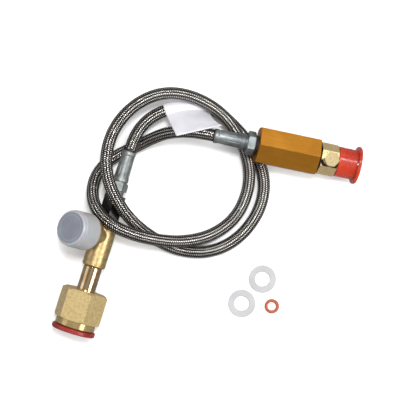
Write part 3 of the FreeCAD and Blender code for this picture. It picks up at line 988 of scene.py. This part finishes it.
        # The braid's second colour is painted shade for its hollows
        braid = Braid("braid_wire", (1.0, 0.97, 0.93), (0.020, 0.015, 0.011)).build()
        inner = Rubber("braid_shadow", (0.012, 0.01, 0.008), (0.02, 0.017, 0.014)).build()
        core_points, core_faces = self.core_mesh(line)
        points, faces, spots = self.float_mesh(line)
        every_point = np.concatenate([core_points, points])
        every_face = np.concatenate([core_faces, faces + len(core_points)])
        mesh = bpy.data.meshes.new("braided_hose")
        mesh.from_pydata(every_point.tolist(), [], every_face.tolist())
        mesh.materials.append(braid)
        mesh.materials.append(inner)
        kinds = np.zeros(len(every_face), np.int32)
        kinds[:len(core_faces)] = 1
        mesh.polygons.foreach_set("material_index", kinds)
        mesh.polygons.foreach_set("use_smooth", np.ones(len(every_face), bool))
        every_spot = np.concatenate([np.full((len(core_points), 2), 0.5), spots])
        layer = mesh.uv_layers.new(name="float")
        layer.data.foreach_set("uv", every_spot[every_face.ravel()].ravel())
        mesh.update()
        hose = add_object("braided_hose", mesh)
        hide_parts(*self.stretches)
        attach(hose, "hose_and_fittings")
        tuple(line.points[0])
        LOG.info("braided hose: %d faces, line %.4f m", len(every_face), line.length)
        return hose


@dataclass
class FoldedTag:
    """White film label folded round the hose, its two halves stuck together as a flag.

    Attributes:
        width: Width along the hose.
        film: Thickness of the film.
        parting: Distance of each half from the flag's middle, as a share of the film.
        bend: Radius of the film round the hose.
        edge_x: Where on X the right edge meets the hose.
        lift_right: Angle above level at which the flag's right edge leaves the hose.
        lift_left: The same for its left edge.
        root_gap: Distance from the bend to where the halves meet.
        columns: Points along the hose.
        stiffness: Share of the flag that keeps the direction it leaves in.
    """

    width: float = 33.0 * MM
    film: float = 0.16 * MM
    parting: float = 0.6
    bend: float = 4.4 * MM
    edge_x: float = 2.5 * MM
    lift_right: float = math.radians(57.5)
    lift_left: float = math.radians(43.5)
    root_gap: float = 0.2 * MM
    columns: int = 34
    flag_rows: int = 18
    wrap_rows: int = 28
    stiffness: float = 0.4

    # Corners of the free edge in millimetres
    free_left = (-20.4, 65.8, 33.9)
    free_right = (10.3, 72.9, 31.9)

    def flag(self, root: np.ndarray, out: np.ndarray, share: np.ndarray) -> np.ndarray:
        """Middle of the flag, which bends from the hose over to its straight free edge.

        Args:
            root: Where each column leaves the hose.
            out: Direction that each column leaves it in.
            share: Place of each column, 0 at the right end and 1 at the left.

        Returns:
            Points by column and row, from the free edge to the hose.
        """
        right, left = np.array(self.free_right) * MM, np.array(self.free_left) * MM
        tip = right + (left - right) * share[:, None]
        span = np.linalg.norm(tip - root, axis=1)[:, None]
        knee = (root + out * span * self.stiffness)[:, None]
        away = np.linspace(1.0, 0.0, self.flag_rows)[None, :, None]
        return root[:, None] * (1 - away) ** 2 + knee * 2 * away * (1 - away) + tip[:, None] * away ** 2

    def build(self, line: Line) -> bpy.types.Object:
        """Args:
            line: The hose's line, which the tag follows.

        Returns:
            The tag.
        """
        gap = self.film * self.parting
        close = math.asin(gap / self.bend)
        right = line.marks[np.nonzero(line.points[:, 0] > self.edge_x)[0][-1]]
        share = np.linspace(0.0, 1.0, self.columns)
        middle, _, _ = line.at(right + share * self.width)
        ahead = np.gradient(middle, axis=0)
        ahead = ahead / np.linalg.norm(ahead, axis=1, keepdims=True)
        side = np.cross(ahead, (0.0, 0.0, 1.0))
        side = side * np.where(side[:, 1:2] > 0, -1.0, 1.0)
        side = side / np.linalg.norm(side, axis=1, keepdims=True)
        up = np.cross(side, ahead)
        up = up * np.where(up[:, 2:] < 0, -1.0, 1.0)
        lift = (self.lift_right + (self.lift_left - self.lift_right) * share)[:, None]
        out = side * np.cos(lift) + up * np.sin(lift)
        square = -side * np.sin(lift) + up * np.cos(lift)
        flag = self.flag(middle + out * (self.bend + self.root_gap), out, share)
        normal = np.cross(np.gradient(flag, axis=0), np.gradient(flag, axis=1))
        normal = normal / np.linalg.norm(normal, axis=2, keepdims=True)
        normal = normal * np.sign(np.sum(normal * square[:, None], axis=2, keepdims=True))
        turn = np.linspace(close, 2 * math.pi - close, self.wrap_rows)[None, :, None]
        bent = out[:, None] * np.cos(turn) + square[:, None] * np.sin(turn)
        wrap = middle[:, None] + bent * self.bend
        points = np.concatenate([flag + normal * gap, wrap, (flag - normal * gap)[:, ::-1]], axis=1)
        rows = points.shape[1]
        corner = (np.arange(self.columns - 1)[:, None] * rows + np.arange(rows - 1)[None]).ravel()
        faces = np.stack([corner, corner + 1, corner + rows + 1, corner + rows], axis=-1)
        mesh = bpy.data.meshes.new("folded_tag")
        mesh.from_pydata(points.reshape(-1, 3).tolist(), [], faces.tolist())
        label = Label("white_label", (0.575, 0.57, 0.60), (0.50, 0.495, 0.53))
        mesh.materials.append(label.build())
        mesh.polygons.foreach_set("use_smooth", np.ones(len(faces), bool))
        tag = add_object("folded_tag", mesh)
        solid = tag.modifiers.new("film", "SOLIDIFY")
        solid.thickness = self.film
        solid.offset = 0.0
        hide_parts("tag")
        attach(tag, "hose_and_fittings")
        return tag


@dataclass
class Thread:
    """One helical thread as a ridge on a plain CAD cylinder.

    Attributes:
        start: Station on the cylinder's axis at which the thread starts.
        end: Station at which it ends.
        radius: The cylinder's radius.
        height: Height of the ridge over it.
        pitch: Distance from turn to turn.
        ease_steps: Steps over which the ridge rises and falls at its ends.
    """

    name: str
    axis: Axis
    start: float
    end: float
    radius: float
    height: float = 0.24 * MM
    pitch: float = 1.81 * MM
    sides: int = 48
    ease_steps: int = 12

    # The ridge's section: shares of the pitch along the axis and of the height over the cylinder
    profile = ((-0.42, -0.15), (-0.1, 1.0), (0.1, 1.0), (0.42, -0.15))

    def build(self, material: bpy.types.Material, slot: str) -> bpy.types.Object:
        """Makes the ridge.

        Args:
            material: The finish of the piece that it is cut on.
            slot: That piece's material slot; not used.

        Returns:
            The ridge.
        """
        turns = (self.end - self.start - self.pitch) / self.pitch
        steps = int(turns * self.sides)
        ahead = self.axis.direction
        across = ahead.orthogonal().normalized()
        other = ahead.cross(across)
        points = []
        for step in range(steps + 1):
            turn = 2 * math.pi * step / self.sides
            ease = min(1.0, step / self.ease_steps, (steps - step) / self.ease_steps)
            station = self.start + self.pitch * (0.5 + step / self.sides)
            out = across * math.cos(turn) + other * math.sin(turn)
            for shift, rise in self.profile:
                reach = self.radius + self.height * (rise * ease if rise > 0 else rise)
                points.append(self.axis.origin + ahead * (station + shift * self.pitch) + out * reach)
        count = len(self.profile)
        faces = []
        for step in range(steps):
            for side in range(count):
                here, after = step * count + side, step * count + (side + 1) % count
                faces.append((here, here + count, after + count, after))
        faces.append(tuple(range(count)))
        faces.append(tuple(reversed(range(steps * count, steps * count + count))))
        mesh = bpy.data.meshes.new(self.name)
        mesh.from_pydata(points, [], faces)
        mesh.materials.append(material)
        ridge = add_object(self.name, mesh)
        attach(ridge, "hose_and_fittings")
        LOG.info("%s: %.1f turns", self.name, turns)
        return ridge


def dress(material: bpy.types.Material, *names: str) -> None:
    """Gives CAD nodes a finish.

    Args:
        material: The finish.
        names: The nodes.
    """
    for name in names:
        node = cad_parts[name]
        if not node.material_slots:
            node.data.materials.append(material)
        for slot in node.material_slots:
            slot.material = material
        LOG.info("dressed %s as %s", name, material.name)


@dataclass
class MachineEnd:
    """Ferrule, stem, gold valve housing, brass outlet valve with its burst plug, and red cap.

    Attributes:
        housing_face: Station at which the valve leaves the housing.
        plug_corner: Point beside the burst plug round which painted shade lies.
    """

    axis: Axis = Axis.MACHINE
    thread_start: float = 88.2 * MM
    thread_end: float = 96.6 * MM
    thread_radius: float = 8.9 * MM
    housing_face: float = 72.7 * MM
    plug_corner: Point = (0.0847, 0.0503, 0.0262)

    def build(self) -> None:
        """Dresses the end and cuts its outlet thread."""
        zinc = TurnedMetal(
            "zinc_machine_end", (0.24, 0.26, 0.265), (0.08, 0.09, 0.095), self.axis,
            roughness=0.42, metallic=0.7,
        )
        dress(zinc.build(), "machine_ferrule", "machine_stem")
        gold = Anodised("gold_anodise", (0.56, 0.238, 0.026), (0.45, 0.182, 0.018), self.axis)
        dress(gold.build(), "valve_housing")
        # The valve's brass gets painted shade in the gap at the housing and beside the burst plug
        brass = TurnedMetal(
            "valve_brass", (0.90, 0.70, 0.37), (0.74, 0.55, 0.27), self.axis,
            0.25, line_depth=0.0, metallic=0.8, joint=self.housing_face, corner=self.plug_corner,
        ).build()
        dress(brass, "outlet_valve", "spring_keeper")
        plug = TurnedMetal(
            "plug_brass", (0.50, 0.40, 0.22), (0.37, 0.28, 0.14), self.axis,
            roughness=0.26, line_depth=0.0, metallic=0.7,
        )
        dress(plug.build(), "burst_plug")
        thread = Thread(
            "outlet_thread", self.axis, self.thread_start, self.thread_end, self.thread_radius,
        )
        thread.build(brass, "valve_brass")
        steel = TurnedMetal("drawn_steel", (0.5, 0.5, 0.5), (0.36, 0.36, 0.36), self.axis, 0.24)
        dress(steel.build(), "valve_pin", "valve_spring", "burst_disc")
        red = Moulded(
            "red_cap", (0.46, 0.034, 0.008), (0.32, 0.017, 0.004),
            roughness=0.24, subsurface=0.1, coat=0.5, scuffing=0.0,
        )
        dress(red.build(), "machine_cap")
        inner = Rubber("inner_hose", (0.02, 0.02, 0.02), (0.06, 0.06, 0.06))
        dress(inner.build(), "machine_hose_tail", "tank_hose_tail")
        black = Rubber("black_rubber", (0.012, 0.012, 0.012), (0.04, 0.04, 0.04))
        dress(black.build(), "stem_seal", "outlet_seal", "burst_gasket")


@dataclass
class TankEnd:
    """Ferrule, stem, black coupling, brass tee with its capped side outlet, nipple and tank nut.

    Attributes:
        thread_start: Station of the side thread's start, along the port.
        cap_end: Station of the side cap's end, along the port.
        nut_collar: Station past which the nut is polished and darkened with a painted reflection, along
            the axis.
    """

    axis: Axis = Axis.TANK
    port: Axis = Axis.SIDE_PORT
    thread_start: float = 20.0 * MM
    thread_end: float = 32.6 * MM
    thread_radius: float = 10.45 * MM
    cap_end: float = 36.0 * MM
    cap_radius: float = 11.8 * MM
    nut_collar: float = 121.5 * MM

    def build(self) -> None:
        """Dresses the end and cuts its side thread."""
        zinc = TurnedMetal(
            "zinc_tank_end", (0.27, 0.29, 0.285), (0.13, 0.14, 0.14), self.axis,
            roughness=0.46, metallic=0.75,
        )
        dress(zinc.build(), "tank_ferrule", "tank_stem")
        black = Moulded("black_enamel", (0.005, 0.0045, 0.004), (0.009, 0.008, 0.007), 0.2, gloss=0.2)
        dress(black.build(), "coupling")
        tee = TurnedMetal(
            "tee_brass", (0.56, 0.42, 0.21), (0.34, 0.24, 0.10), self.axis,
            roughness=0.36, line_depth=0.00004, clouding=420.0, speck_share=0.85, metallic=0.85,
        )
        dress(tee.build(), "tee_body")
        side = TurnedMetal(
            "outlet_brass", (0.62, 0.47, 0.24), (0.36, 0.26, 0.11), self.port,
            roughness=0.36, line_depth=0.00004, clouding=420.0, speck_share=0.85, metallic=0.85,
        ).build()
        dress(side, "side_outlet")
        thread = Thread("side_thread", self.port, self.thread_start, self.thread_end, self.thread_radius)
        thread.build(side, "tee_brass")
        nipple = TurnedMetal("nipple_brass", (0.78, 0.60, 0.38), (0.54, 0.37, 0.19), self.axis, 0.12)
        dress(nipple.build(), "tank_nipple")
        # The nut's collar gets a painted reflection past its polished station
        nut = TurnedMetal(
            "nut_brass", (0.74, 0.57, 0.28), (0.53, 0.39, 0.17), self.axis,
            roughness=0.29, line_depth=0.00002, clouding=520.0, speck_share=0.6, metallic=0.66,
            polished=self.nut_collar,
        )
        dress(nut.build(), "tank_nut")
        red = Moulded("red_plug", (0.25, 0.014, 0.009), (0.18, 0.010, 0.007), 0.3, subsurface=0.1)
        dress(red.build(), "nut_plug")
        # The cap's end colour is painted shade for the hollow behind it
        clear = MilkyCap(
            "clear_cap", (0.29, 0.29, 0.30), (0.15, 0.163, 0.195), (0.34, 0.355, 0.385), self.port,
            self.cap_end, self.cap_radius,
        )
        dress(clear.build(), "side_cap")


@dataclass
class Spares:
    """Two nylon washers and a small O-ring, loose on the floor."""

    def build(self) -> None:
        """Dresses the spares."""
        nylon = Moulded("white_nylon", (0.37, 0.37, 0.38), (0.32, 0.32, 0.33), 0.4, subsurface=0.2)
        dress(nylon.build(), "spare_washers")
        orange = Rubber("orange_rubber", (0.33, 0.060, 0.020), (0.39, 0.095, 0.04), roughness=0.42)
        dress(orange.build(), "spare_o_ring")


def main() -> None:
    """Builds and dresses every sub-assembly."""
    logging.basicConfig(level=logging.INFO)
    Studio().build()
    hose = BraidedHose()
    line = hose.line()
    hose.build(line)
    FoldedTag().build(line)
    MachineEnd().build()
    TankEnd().build()
    Spares().build()


if __name__ == "__main__":
    main()
